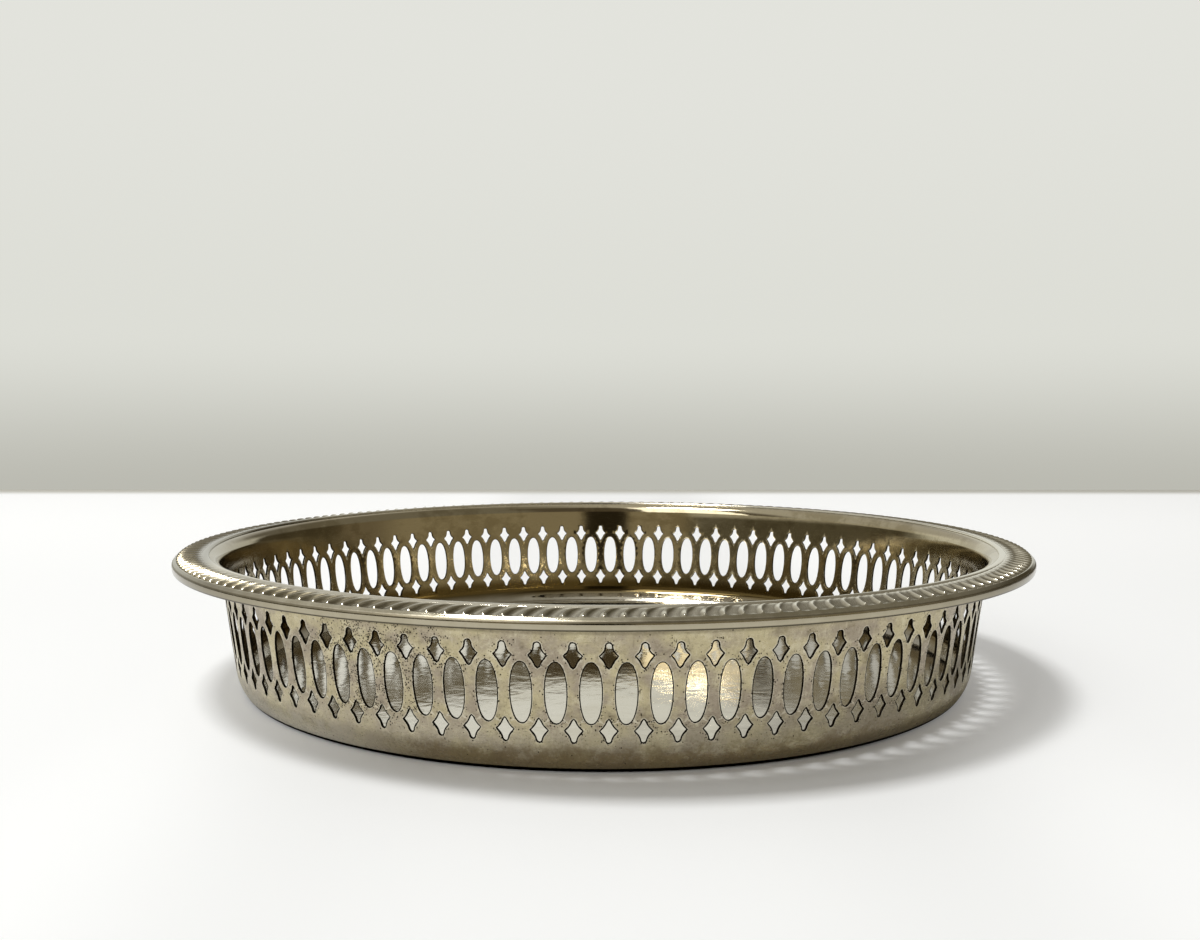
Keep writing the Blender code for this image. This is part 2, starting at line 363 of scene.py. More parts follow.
# %% [markdown]
# ## One node tree for both pieces
# The pan and the border share one rule: a small patch repeated round the axis, and plain
# bands spun between or beside the patches. So one Geometry Nodes tree makes both. It puts
# a copy of the patch on each of a row of points, turns each copy by its number, sweeps the
# section round a circle whose segments meet the patch's columns, and merges what touches.

# %% Build the tree


def add(tree, kind, inputs=None, **settings):
    """Adds a node; an input is given a value, or joined to the socket that is passed."""
    made = tree.nodes.new(kind)
    for name, value in settings.items():
        setattr(made, name, value)
    for key, value in (inputs or {}).items():
        if isinstance(value, bpy.types.NodeSocket):
            tree.links.new(value, made.inputs[key])
        else:
            made.inputs[key].default_value = value
    return made


def ring_tree():
    """Repeats a patch round Z, spins a section beside it, and merges them into one skin."""
    tree = bpy.data.node_groups.new("ring_of_patches", "GeometryNodeTree")
    sockets = (("Patch", "NodeSocketObject"), ("Section", "NodeSocketObject"), ("Copies", "NodeSocketInt"),
               ("Columns", "NodeSocketInt"), ("Turn", "NodeSocketFloat"), ("Circle", "NodeSocketFloat"),
               ("Weld", "NodeSocketFloat"), ("Finish", "NodeSocketMaterial"))
    for name, kind in sockets:
        tree.interface.new_socket(name=name, in_out="INPUT", socket_type=kind)
    tree.interface.new_socket(name="Geometry", in_out="OUTPUT", socket_type="NodeSocketGeometry")
    given = tree.nodes.new("NodeGroupInput").outputs
    patch = add(tree, "GeometryNodeObjectInfo", {"Object": given["Patch"]})
    section = add(tree, "GeometryNodeObjectInfo", {"Object": given["Section"]})
    pitch = add(tree, "ShaderNodeMath", {0: 2 * math.pi, 1: given["Copies"]}, operation="DIVIDE")
    index = add(tree, "GeometryNodeInputIndex")
    angle = add(tree, "ShaderNodeMath", {0: index.outputs[0], 1: pitch.outputs[0]}, operation="MULTIPLY")
    turn = add(tree, "ShaderNodeCombineXYZ", {"Z": angle.outputs[0]})
    row = add(tree, "GeometryNodePoints", {"Count": given["Copies"]})
    copies = add(tree, "GeometryNodeInstanceOnPoints", {
        "Points": row.outputs[0], "Instance": patch.outputs["Geometry"], "Rotation": turn.outputs[0]})
    real = add(tree, "GeometryNodeRealizeInstances", {"Geometry": copies.outputs[0]})
    segments = add(tree, "ShaderNodeMath", {0: given["Copies"], 1: given["Columns"]}, operation="MULTIPLY")
    circle = add(tree, "GeometryNodeCurvePrimitiveCircle", {
        "Resolution": segments.outputs[0], "Radius": given["Circle"]})
    spun = add(tree, "GeometryNodeCurveToMesh", {
        "Curve": circle.outputs[0], "Profile Curve": section.outputs["Geometry"]})
    joined = tree.nodes.new("GeometryNodeJoinGeometry")
    for made in (real, spun):
        tree.links.new(made.outputs[0], joined.inputs[0])
    merged = add(tree, "GeometryNodeMergeByDistance", {
        "Geometry": joined.outputs[0], "Distance": given["Weld"]})
    turned = add(tree, "ShaderNodeCombineXYZ", {"Z": given["Turn"]})
    placed = add(tree, "GeometryNodeTransform", {
        "Geometry": merged.outputs[0], "Rotation": turned.outputs[0]})
    whole = add(tree, "GeometryNodeRealizeInstances", {"Geometry": placed.outputs[0]})
    dressed = add(tree, "GeometryNodeSetMaterial", {
        "Geometry": whole.outputs[0], "Material": given["Finish"]})
    out = tree.nodes.new("NodeGroupOutput")
    tree.links.new(dressed.outputs[0], out.inputs[0])
    return tree


ring_of_patches = ring_tree()
print("tree", ring_of_patches.name, "has", len(ring_of_patches.nodes), "nodes")

# %% [markdown]
# ## From tree to plain mesh
# A tree's inputs are set by the identifier of each socket before the object is evaluated.
# The result is copied into a plain mesh, its doubles are gone already, and its faces are
# turned the same way. Sharp edges are marked by angle, so that curved faces shade smoothly
# and the rims of holes stay crisp.

# %% Helpers that bake a piece
MERGE = 0.00001
SHARP = math.radians(35)


def grow(name, values):
    """Runs the tree on an empty mesh with these inputs and gives back the baked object."""
    item = bpy.data.objects.new(name, bpy.data.meshes.new(name + "_seed"))
    bpy.context.scene.collection.objects.link(item)
    modifier = item.modifiers.new("ring", "NODES")
    modifier.node_group = ring_of_patches
    for socket in ring_of_patches.interface.items_tree:
        if socket.in_out == "INPUT":
            modifier[socket.identifier] = values[socket.name]
    bake(item)
    item.data.materials.clear()
    item.data.materials.append(values["Finish"])
    item.data.polygons.foreach_set("material_index", [0] * len(item.data.polygons))
    return item


def bake(item):
    """Replaces an object's mesh by its evaluated one and drops its modifiers."""
    graph = bpy.context.evaluated_depsgraph_get()
    made = bpy.data.meshes.new_from_object(item.evaluated_get(graph), depsgraph=graph)
    item.modifiers.clear()
    item.data = made
    made.name = item.name
    return item


def face_out(item, lowest_down=False):
    """Turns all faces the same way; on an open skin the lowest face then looks down."""
    work = bmesh.new()
    work.from_mesh(item.data)
    bmesh.ops.dissolve_degenerate(work, dist=MERGE / 10, edges=work.edges)
    bmesh.ops.recalc_face_normals(work, faces=work.faces)
    lowest = min(work.faces, key=lambda face: face.calc_center_median().z)
    if lowest_down and lowest.normal.z > 0:
        bmesh.ops.reverse_faces(work, faces=work.faces)
    work.to_mesh(item.data)
    work.free()


def smooth(item):
    """Smooth shading, but for edges sharper than the named angle."""
    item.data.shade_smooth()
    item.data.set_sharp_from_angle(angle=SHARP)


# %% [markdown]
# ## Patterns for the finishes
# Old silver plate is never one colour. The hand has polished it in streaks, grey and brown
# tarnish has settled where the cloth can't reach, and acid spots have left small pits. All
# of that is drawn from noise on the object's own coordinates, at its true size, so that it
# stays put from every side. These helpers keep the material trees short.

# %% Helpers for shader nodes


def new_finish(name):
    """An empty node material with its shader and the object's coordinates."""
    material = bpy.data.materials.new(name)
    material.use_nodes = True
    tree = material.node_tree
    shader = tree.nodes["Principled BSDF"]
    place = tree.nodes.new("ShaderNodeTexCoord").outputs["Object"]
    return material, tree, shader, place


def stretched(tree, place, scale, shift=(0.0, 0.0, 0.0)):
    """The coordinates scaled on each axis, so that a pattern is stretched."""
    return add(tree, "ShaderNodeMapping", {"Vector": place, "Scale": scale, "Location": shift}).outputs[0]


def noise(tree, place, scale, detail=3.0, roughness=0.55):
    """Noise with a number of lumps to the metre."""
    return add(tree, "ShaderNodeTexNoise", {
        "Vector": place, "Scale": scale, "Detail": detail,
        "Roughness": roughness}).outputs["Fac"]


def ramp(tree, value, low, high, start=0.0, stop=1.0):
    """Maps a value between two levels onto a range, held at its ends."""
    return add(tree, "ShaderNodeMapRange", {
        "Value": value, "From Min": low, "From Max": high, "To Min": start, "To Max": stop},
        interpolation_type="SMOOTHSTEP").outputs[0]


def maths(tree, operation, first, second=0.0):
    """One step of arithmetic on two values, or on one."""
    return add(tree, "ShaderNodeMath", {0: first, 1: second}, operation=operation).outputs[0]


def times(tree, first, second):
    """The product of two values or masks."""
    return maths(tree, "MULTIPLY", first, second)


def plus(tree, first, second):
    """The sum of two values."""
    return maths(tree, "ADD", first, second)


def blend(tree, amount, first, second):
    """Mixes two colours by an amount."""
    made = add(tree, "ShaderNodeMix", {"Factor": amount}, data_type="RGBA")
    for socket, value in ((made.inputs[6], first), (made.inputs[7], second)):
        if isinstance(value, bpy.types.NodeSocket):
            tree.links.new(value, socket)
        else:
            socket.default_value = (*value, 1.0)
    return made.outputs[2]


def coats(tree, plate, layers):
    """Lays colours over a plate one after the other, each through its own mask."""
    for mask, colour in layers:
        plate = blend(tree, mask, plate, colour)
    return plate


def bumped(tree, height, depth, strength=1.0, under=None):
    """A bump of a true depth in metres, on top of another one."""
    inputs = {"Height": height, "Distance": depth, "Strength": strength}
    if under is not None:
        inputs["Normal"] = under
    return add(tree, "ShaderNodeBump", inputs).outputs[0]


# %% [markdown]
# ## The pan's plate outside
# The wall is mottled in olive and a pinker grey, paler low down, yellower towards the rim
# and dark in the rim's shade. Fine lines of polishing run round it. The tarnish gathers in
# a dark line at each hole, with a thin bright burr just outside it. The lowest band is
# brown in the middle and on the right, part tarnish and part painted shade of the table it
# mirrors, and painted pale on the left, where it mirrors the lit table. It ends in a painted
# black line of shadow where the tray meets the table. Acid has pitted the wall, worst near
# the front's left.
# Each named pair below gives the two levels, in metres or in widths of the tarnish line,
# between which a coat comes in.

# %% Make the outside's finish
YELLOWER = (0.036, 0.042)
RIM_SHADE = (0.0384, 0.0392)
PALE_FOOT = (0.015, 0.010)
FOOT_BAND = (0.0085, 0.0035)
FOOT_SHADOW_LINE = (0.0014, 0.0010)
BURR = (1.9, 1.3)
TARNISH = (1.25, 0.95)
TARNISH_AND_SHADOW_BLACK = (0.006, 0.004, 0.002)
PITTED_SPOT = (-0.066, -0.120, 0.0345)
PITTED_REACH = (0.010, 0.032)


def outer_finish():
    """Worn plate for the pan's outside, with polish lines, mottling, tarnish and pits, and painted shade and
    light low down and under the rim.
    """
    material, tree, shader, place = new_finish("pan_silver_plate")
    along = add(tree, "ShaderNodeSeparateXYZ", {0: place}).outputs
    height = along["Z"]
    cloud = noise(tree, stretched(tree, place, (1, 1, 1.3)), 170, 8.0, 0.72)
    patch = noise(tree, stretched(tree, place, (1, 1, 1.3), (3.1, 0.4, 1.7)), 60, 4.0, 0.6)
    grain = noise(tree, place, 1300, 5.0, 0.75)
    lines = noise(tree, stretched(tree, place, (1, 1, 14.0)), 240, 5.0, 0.7)
    hair = noise(tree, stretched(tree, place, (1, 1, 0.12), (1.3, 0.2, 0.6)), 1100, 4.0, 0.7)
    nearness = add(tree, "ShaderNodeAttribute", attribute_name="hole_nearness").outputs["Fac"]
    distance = maths(tree, "SUBTRACT", ramp(tree, grain, 0.3, 0.7, FAR - 0.2, FAR + 0.2), nearness)
    low = plus(tree, height, ramp(tree, cloud, 0.35, 0.65, -0.0015, 0.0015))
    foot = ramp(tree, low, *FOOT_BAND)
    middle = ramp(tree, along["X"], -0.11, -0.03, 0.0, 0.75)
    middle = times(tree, middle, ramp(tree, along["X"], 0.04, 0.10, 1.0, 0.5))
    # Painted light: the left of the foot band is made paler where it mirrors the lit table.
    left_side = ramp(tree, along["X"], -0.045, -0.085, 0.0, 0.6)
    # Hole tarnish, together with a painted black line of shadow in the lowest 1.4 mm, where the foot meets
    # the table.
    hole_tarnish_and_foot_shadow = maths(tree, "MAXIMUM", ramp(tree, distance, *TARNISH), ramp(tree, height, *FOOT_SHADOW_LINE))
    plate = blend(tree, ramp(tree, patch, 0.40, 0.60), (0.52, 0.455, 0.285), (0.37, 0.315, 0.24))
    plate = coats(tree, plate, (
        (ramp(tree, cloud, 0.50, 0.70, 0.0, 0.7), (0.66, 0.60, 0.43)),       # pale clouds
        (ramp(tree, cloud, 0.46, 0.30, 0.0, 0.7), (0.23, 0.19, 0.12)),       # dark clouds
        (ramp(tree, lines, 0.42, 0.26, 0.0, 0.55), (0.22, 0.185, 0.115)),    # dark lines
        (ramp(tree, lines, 0.58, 0.74, 0.0, 0.4), (0.66, 0.60, 0.44)),       # bright lines
        (ramp(tree, hair, 0.42, 0.28, 0.0, 0.5), (0.22, 0.185, 0.125)),      # dark streaks
        (ramp(tree, hair, 0.58, 0.72, 0.0, 0.35), (0.68, 0.625, 0.47)),      # bright streaks
        (ramp(tree, height, *YELLOWER, 0.0, 0.45), (0.54, 0.475, 0.285)),
        (ramp(tree, height, *RIM_SHADE, 0.0, 0.5), (0.17, 0.145, 0.09)),
        (ramp(tree, low, *PALE_FOOT, 0.0, 0.3), (0.74, 0.68, 0.52)),
        (times(tree, foot, middle), (0.21, 0.15, 0.065)),                    # brown: part tarnish, part painted shade of the table it mirrors
        (times(tree, foot, left_side), (0.84, 0.80, 0.70)),                  # painted light: paler where it mirrors the lit table
        (ramp(tree, grain, 0.32, 0.46, 0.5, 0.0), (0.15, 0.125, 0.08)),      # dark grain
        (ramp(tree, grain, 0.56, 0.72, 0.0, 0.3), (0.74, 0.69, 0.54)),       # bright grain
        (ramp(tree, distance, *BURR, 0.0, 0.7), (0.72, 0.67, 0.53)),
        (hole_tarnish_and_foot_shadow, TARNISH_AND_SHADOW_BLACK)))
    tree.links.new(blend(tree, hole_tarnish_and_foot_shadow, (1.0, 1.0, 1.0), (0.0, 0.0, 0.0)), shader.inputs["Specular Tint"])

    to_spot = add(tree, "ShaderNodeVectorMath", {0: place, 1: PITTED_SPOT}, operation="DISTANCE")
    cells = add(tree, "ShaderNodeTexVoronoi", {"Vector": place, "Scale": 1900.0, "Randomness": 1.0})
    rare = add(tree, "ShaderNodeSeparateColor", {0: cells.outputs["Color"]}).outputs[0]
    near_spot = ramp(tree, to_spot.outputs["Value"], *PITTED_REACH, 0.80, 0.10)
    chance = plus(tree, near_spot, ramp(tree, distance, 1.0, FAR, 0.10, -0.40))
    chance = plus(tree, chance, ramp(tree, noise(tree, place, 420, 3.0, 0.6), 0.35, 0.65, -0.45, 0.35))
    chosen = maths(tree, "LESS_THAN", rare, chance)
    pits = times(tree, ramp(tree, cells.outputs["Distance"], 0.48, 0.30), chosen)
    plate = blend(tree, times(tree, pits, 0.95), plate, (0.012, 0.009, 0.005))
    tree.links.new(plate, shader.inputs["Base Color"])
    shader.inputs["Metallic"].default_value = 1.0

    rough = plus(tree, ramp(tree, cloud, 0.3, 0.7, 0.36, 0.22), ramp(tree, lines, 0.3, 0.7, -0.05, 0.05))
    rough = plus(tree, rough, ramp(tree, distance, 1.25, 0.8, 0.0, 0.35))
    tree.links.new(rough, shader.inputs["Roughness"])
    normal = bumped(tree, cloud, 0.0004, 0.3)
    normal = bumped(tree, lines, 0.00006, 0.6, normal)
    normal = bumped(tree, grain, 0.00003, 0.5, normal)
    normal = bumped(tree, maths(tree, "SUBTRACT", 1.0, pits), 0.0001, 0.8, normal)
    tree.links.new(normal, shader.inputs["Normal"])
    print("outside finish has", len(tree.nodes), "nodes")
    return material


outer_plate = outer_finish()

# %% [markdown]
# ## The pan's plate inside
# Inside, the plate has kept more of its polish: the floor mirrors the wall and the room, a
# little wavy from use, and the wall is browner with some darker stains. Towards the left,
# the right and the back the floor is worn, and the left and right are dented as well. Noise
# makes the edges of those parts drift. The flare is painted darker at the far left, as shade
# that damps the lamp's reflection there. One material serves floor and wall, and the height
# tells them apart.

# %% Make the inside's finish
FLOOR_TO_WALL = (0.0012, 0.006)
WALL_TO_FLOOR = (0.006, 0.0012)
BROWN_CORNER = (0.0135, 0.009)
UP_THE_FLARE = (0.040, 0.044)


def inner_finish():
    """Polished plate for the pan's inside: a mirror in the floor's middle, browner on the wall."""
    material, tree, shader, place = new_finish("pan_silver_plate_inside")
    along = add(tree, "ShaderNodeSeparateXYZ", {0: place}).outputs
    height = along["Z"]
    wave = noise(tree, place, 130, 2.0, 0.6)
    cloud = noise(tree, stretched(tree, place, (1, 1, 1.4), (0.7, 2.3, 0.2)), 48, 5.0, 0.65)
    rub = noise(tree, stretched(tree, place, (1.0, 4.0, 1.0)), 200, 6.0, 0.75)
    grain = noise(tree, place, 1500, 3.0, 0.6)
    on_wall = ramp(tree, height, *FLOOR_TO_WALL)
    flat = ramp(tree, height, *WALL_TO_FLOOR)
    drift = plus(tree, along["X"], ramp(tree, noise(tree, place, 22, 4.0, 0.65), 0.3, 0.7, -0.025, 0.025))
    left_side = ramp(tree, drift, -0.005, -0.075)
    right_side = ramp(tree, drift, 0.005, 0.065)
    sides = maths(tree, "MAXIMUM", left_side, right_side)
    far_left = ramp(tree, along["X"], -0.118, -0.138, 0.0, 0.55)
    plate = blend(tree, on_wall, (0.70, 0.66, 0.55), (0.58, 0.51, 0.35))
    plate = coats(tree, plate, (
        (ramp(tree, cloud, 0.35, 0.55, 0.3, 0.0), (0.54, 0.48, 0.34)),                          # clouds
        (times(tree, on_wall, ramp(tree, cloud, 0.48, 0.62, 0.0, 0.45)), (0.28, 0.22, 0.11)),   # stains
        (ramp(tree, height, *BROWN_CORNER, 0.0, on_wall), (0.20, 0.145, 0.055)),
        (ramp(tree, grain, 0.30, 0.42, 0.3, 0.0), (0.25, 0.22, 0.16)),                          # grain
        (times(tree, right_side, times(tree, flat, 0.8)), (0.38, 0.355, 0.30)),
        (times(tree, left_side, times(tree, flat, 0.8)), (0.90, 0.87, 0.79)),
        # painted shade: the flare darker at the far left, to damp the lamp's reflection there
        (times(tree, ramp(tree, height, *UP_THE_FLARE), far_left), (0.28, 0.25, 0.185))))
    tree.links.new(plate, shader.inputs["Base Color"])
    shader.inputs["Metallic"].default_value = 1.0

    worn = maths(tree, "MAXIMUM", sides, ramp(tree, along["Y"], 0.05, 0.08))
    scuffed = times(tree, worn, ramp(tree, cloud, 0.3, 0.7, 0.05, 0.11))
    on_floor = plus(tree, 0.04, plus(tree, scuffed, ramp(tree, rub, 0.5, 0.8, 0.0, 0.08)))
    rough = maths(tree, "MAXIMUM", times(tree, on_wall, 0.09), times(tree, on_floor, flat))
    tree.links.new(rough, shader.inputs["Roughness"])
    slack = times(tree, ramp(tree, along["Y"], -0.055, 0.085, 0.0, 0.0022),
                  ramp(tree, along["X"], -0.025, -0.06, 1.0, 0.3))
    normal = bumped(tree, times(tree, slack, flat), 1.0)
    dents = plus(tree, 0.3, times(tree, sides, 0.4))
    dents = times(tree, dents, ramp(tree, height, *WALL_TO_FLOOR, 0.3, 1.0))
    normal = bumped(tree, times(tree, wave, dents), 0.00018, 1.0, normal)
    normal = bumped(tree, rub, 0.000014, 0.35, normal)
    tree.links.new(normal, shader.inputs["Normal"])
    print("inside finish has", len(tree.nodes), "nodes")
    return material


inner_plate = inner_finish()

# %% [markdown]
# ## The cut edges
# No cloth reaches the punched edges, so they are black-brown with old tarnish and polish, and painted darker
# still with the shade that fills the holes.

# %% Make the cut edge's finish


def cut_finish():
    """Black-brown for the punched edges: old tarnish with painted shade."""
    material, tree, shader, place = new_finish("tarnished_cut_edge")
    mottle = noise(tree, place, 900, 3.0)
    colour = blend(tree, ramp(tree, mottle, 0.40, 0.70), (0.006, 0.005, 0.003), (0.03, 0.023, 0.013))
    tree.links.new(colour, shader.inputs["Base Color"])
    shader.inputs["Specular IOR Level"].default_value = 0.0
    tree.links.new(ramp(tree, mottle, 0.3, 0.7, 0.5, 0.75), shader.inputs["Roughness"])
    tree.links.new(bumped(tree, mottle, 0.00005, 0.6), shader.inputs["Normal"])
    return material


cut_edge = cut_finish()

# %% [markdown]
# ## The pan
# The tree makes the pan's outer face as one open skin. Its normals are settled while it is
# open, and then a Solidify modifier gives the sheet its 0.6 mm inwards. Its offsets give
# the faces that close the holes the cut edge's tarnish and painted shade, and the inner face
# the inside's plate.

# %% Grow the pan
pan = grow("pan", {
    "Patch": wall_cell, "Section": pan_section, "Copies": OVALS, "Columns": COLUMNS,
    "Turn": FIRST_OVAL - math.pi / 2, "Circle": PROFILE_CIRCLE, "Weld": MERGE, "Finish": outer_plate})
face_out(pan, lowest_down=True)
pan.data.materials.append(cut_edge)
pan.data.materials.append(inner_plate)
sheet = pan.modifiers.new("sheet", "SOLIDIFY")
sheet.thickness = SHEET
sheet.offset = -1.0
sheet.use_even_offset = True
sheet.material_offset_rim = 1
sheet.material_offset = 2
bake(pan)
smooth(pan)
print("pan:", len(pan.data.polygons), "faces, materials", [slot.name for slot in pan.data.materials])

# %% [markdown]
# ## One lobe of the rope
# The border's rope isn't twisted wire but a stamping: 186 narrow ridges with a hollow on one
# side of each. A ridge starts with a pearl-like end near the margin, points along the radius
# there, leans over further in, and runs out against the plain bead after seven eighths of a
# pitch. Its one side falls steeply into the hollow and the hollow rises slowly to the next
# ridge, over a soft hump. One lobe is a grid of 8 by 9 faces between two height lines
# across the border, in millimetres, one for the ridge and one for the hollow.

# %% Shape the lobe
LOBES = 186
LOBE_COLUMNS = 8
LOBE_SWEEP = 7 / 8
LOBE_LEAN = 2.2
LOBES_INSIDE = 0.1426
LOBES_OUTSIDE = 0.15095
LOBE_STATIONS = (0.0, 0.03, 0.085, 0.17, 0.29, 0.43, 0.58, 0.73, 0.87, 1.0)
RIDGE_HEIGHTS = (46.24, 46.66, 46.96, 47.06, 47.22, 47.36, 47.43, 47.42, 47.34, 47.20)
HOLLOW_HEIGHTS = (46.24, 46.16, 46.08, 46.11, 46.22, 46.42, 46.70, 46.97, 47.13, 47.20)
ACROSS_LOBE = (0.0, 0.055, 0.115, 0.19, 0.34, 0.54, 0.76, 0.92, 1.0)
ACROSS_RISE = (1.0, 0.86, 0.36, 0.05, 0.10, 0.30, 0.24, 0.66, 1.0)
ACROSS_PEARL = (1.0, 0.86, 0.34, 0.0, 0.0, 0.06, 0.04, 0.36, 1.0)
PEARL_SHARE = 0.22
ACROSS_DIRT = (0.0, 0.1, 0.9, 1.0, 0.75, 0.4, 0.8, 0.2, 0.0)
FULL_GROOVE = 0.4


def lobe_patch():
    """One pitch of the rope, from ridge to ridge, about the +X direction."""
    pitch = 2 * math.pi / LOBES
    places, grooves = [], []
    for inwards, ridge, hollow in zip(LOBE_STATIONS, RIDGE_HEIGHTS, HOLLOW_HEIGHTS):
        radius = LOBES_OUTSIDE + (LOBES_INSIDE - LOBES_OUTSIDE) * inwards
        at_end = inwards in (0.0, 1.0)
        pearl = max(0.0, 1 - inwards / PEARL_SHARE)
        for column, (share, dirt) in enumerate(zip(ACROSS_LOBE, ACROSS_DIRT)):
            rise = ACROSS_RISE[column] + (ACROSS_PEARL[column] - ACROSS_RISE[column]) * pearl
            across = column / LOBE_COLUMNS if at_end else share
            angle = pitch * (across + LOBE_SWEEP * inwards ** LOBE_LEAN)
            height = (hollow + (ridge - hollow) * rise) / 1000
            places.append((radius * math.cos(angle), radius * math.sin(angle), height))
            grooves.append(0.0 if at_end else dirt * min(1.0, (ridge - hollow) / FULL_GROOVE))
    faces = []
    wide = LOBE_COLUMNS + 1
    for row in range(len(LOBE_STATIONS) - 1):
        for column in range(LOBE_COLUMNS):
            corner = row * wide + column
            faces.append((corner, corner + 1, corner + wide + 1, corner + wide))
    mesh = bpy.data.meshes.new("rope_lobe")
    mesh.from_pydata(places, [], faces)
    keep_values(mesh, "groove", grooves)
    return mesh


rope_lobe = bpy.data.objects.new("rope_lobe", lobe_patch())
print("rope lobe:", len(rope_lobe.data.polygons), "faces")

# %% [markdown]
# ## The border's section
# Inside the lobes runs a plain, slightly rounded bead, whose inner edge makes the thin dark
# seam seen against the flare. Outside them the margin is a narrow bevel that rolls down over
# the flange's edge into a lip. The back lies along the flange and then leaves room for the
# solder, as the solid does. The three lines list radius and height in millimetres.

# %% Draw the border's section
BEAD_LINE = (
    (142.60, 47.20), (142.47, 47.30), (142.20, 47.45), (141.85, 47.56), (141.40, 47.61), (140.98, 47.57),
    (140.64, 47.45), (140.42, 47.27), (140.32, 47.05), (140.32, 46.83))
BACK_LINE = (
    (140.90, 46.80), (141.59, 46.68), (143.80, 46.10), (151.30, 45.05), (151.60, 44.90), (151.70, 44.65),
    (151.70, 42.94), (151.77, 42.81))
LIP_LINE = (
    (151.90, 42.77), (152.05, 42.81), (152.17, 42.97), (152.24, 43.30), (152.29, 43.75), (152.30, 44.15),
    (152.29, 44.50), (152.25, 44.83), (152.17, 45.10), (152.06, 45.32), (151.93, 45.49), (151.76, 45.65),
    (151.52, 45.87), (151.32, 46.05), (151.20, 46.14), (151.08, 46.20), (150.95, 46.24))

border_points = [(radius / 1000, height / 1000) for radius, height in BEAD_LINE + BACK_LINE + LIP_LINE]
border_section = section_object("border_section", [border_points])
print("the border's section has", len(border_points), "points")

# %% [markdown]
# ## The border's plate
# The border has been rubbed brighter than the pan on its crests, while the hollows between
# the lobes keep a brown-grey tarnish. The lobe's `groove` attribute tells how deep in a
# hollow each point lies, and the height tells the rope from the margin and the lip. A dark
# band, a painted reflection of the dim room, runs along the roll at the margin's outer edge,
# where the plate is also rougher. The lip is darker and ends in a painted black line of
# shade where it overhangs the wall. The margin is darker at both sides of the tray, and the
# rope is painted darker at the far left, as shade that damps the lamp's reflection there.

# %% Make the border's finish
ROPE_FOOT = (0.0463, 0.0466)
ROPE_TOP = (0.0475, 0.0473)
MARGIN = (0.0463, 0.0460)
ROPE_PAINTED_DARK = (0.0460, 0.0464)
LIP = (0.0454, 0.0450)
LIP_EDGE_SHADOW = (0.04335, 0.04310)
DARK_BAND_HEIGHT = 0.0452


def border_finish():
    """Worn plate for the border, bright on crests and dark in the grooves, with painted shade on the roll,
    at the lip's edge and at the far left.
    """
    material, tree, shader, place = new_finish("border_silver_plate")
    along = add(tree, "ShaderNodeSeparateXYZ", {0: place}).outputs
    height = along["Z"]
    aside = maths(tree, "ABSOLUTE", along["X"])
    groove = add(tree, "ShaderNodeAttribute", attribute_name="groove").outputs["Fac"]
    cloud = noise(tree, place, 120, 5.0, 0.65)
    grain = noise(tree, place, 1700, 4.0, 0.7)
    on_rope = ramp(tree, height, *ROPE_FOOT)
    far_left = ramp(tree, along["X"], -0.116, -0.134, 0.0, 0.72)
    far_sides = ramp(tree, aside, 0.08, 0.125)
    from_dark_band = maths(tree, "ABSOLUTE", maths(tree, "SUBTRACT", height, DARK_BAND_HEIGHT))
    dirt = plus(tree, groove, ramp(tree, grain, 0.3, 0.7, -0.12, 0.12))
    plate = blend(tree, ramp(tree, cloud, 0.35, 0.65), (0.56, 0.51, 0.38), (0.71, 0.66, 0.52))
    plate = coats(tree, plate, (
        (ramp(tree, height, *LIP, 0.0, 0.75), (0.36, 0.32, 0.23)),
        (times(tree, ramp(tree, groove, 0.22, 0.02, 0.0, 0.6), on_rope), (0.92, 0.88, 0.76)),    # crests
        (times(tree, ramp(tree, height, *MARGIN, 0.0, 0.7), far_sides), (0.20, 0.175, 0.12)),
        # painted shade: the rope darker at the far left, to damp the lamp's reflection there
        (times(tree, ramp(tree, height, *ROPE_PAINTED_DARK), far_left), (0.17, 0.15, 0.11)),
        (ramp(tree, from_dark_band, 0.0003, 0.0001, 0.0, 0.5), (0.19, 0.16, 0.10)),                        # painted dark band: the dim room mirrored on the roll
        (ramp(tree, dirt, 0.1, 0.95, 0.0, 0.8), (0.16, 0.135, 0.08)),                            # grooves
        # painted shadow: a black line at the lip's lower edge, where it overhangs the wall
        (ramp(tree, height, *LIP_EDGE_SHADOW, 0.0, 0.85), (0.03, 0.024, 0.013))))
    tree.links.new(plate, shader.inputs["Base Color"])
    shader.inputs["Metallic"].default_value = 1.0

    rough = plus(tree, ramp(tree, cloud, 0.3, 0.7, 0.07, 0.13), ramp(tree, groove, 0.2, 0.9, 0.0, 0.25))
    rubbed = times(tree, on_rope, ramp(tree, height, *ROPE_TOP, 0.0, 0.04))
    rubbed = plus(tree, rubbed, ramp(tree, from_dark_band, 0.0005, 0.0002, 0.0, 0.25))
    tree.links.new(plus(tree, rough, rubbed), shader.inputs["Roughness"])
    normal = bumped(tree, grain, 0.00001, 0.3, bumped(tree, cloud, 0.0002, 0.15))
    tree.links.new(normal, shader.inputs["Normal"])
    print("border finish has", len(tree.nodes), "nodes")
    return material


border_plate = border_finish()

# %% [markdown]
# ## The rope border
# The same tree now repeats the lobe 186 times and spins the section between the lobes'
# inner and outer ends, which closes the border into one ring.

# %% Grow the border
border = grow("border", {
    "Patch": rope_lobe, "Section": border_section, "Copies": LOBES, "Columns": LOBE_COLUMNS,
    "Turn": -math.pi / 2, "Circle": PROFILE_CIRCLE, "Weld": MERGE, "Finish": border_plate})
face_out(border)
smooth(border)
print("border:", len(border.data.polygons), "faces")

# %% [markdown]
# ## The solder
# Soft solder fills the hollow between flange and border. It is hidden on the finished tray,
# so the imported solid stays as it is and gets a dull, grainy grey of its own.

# %% Finish the solder


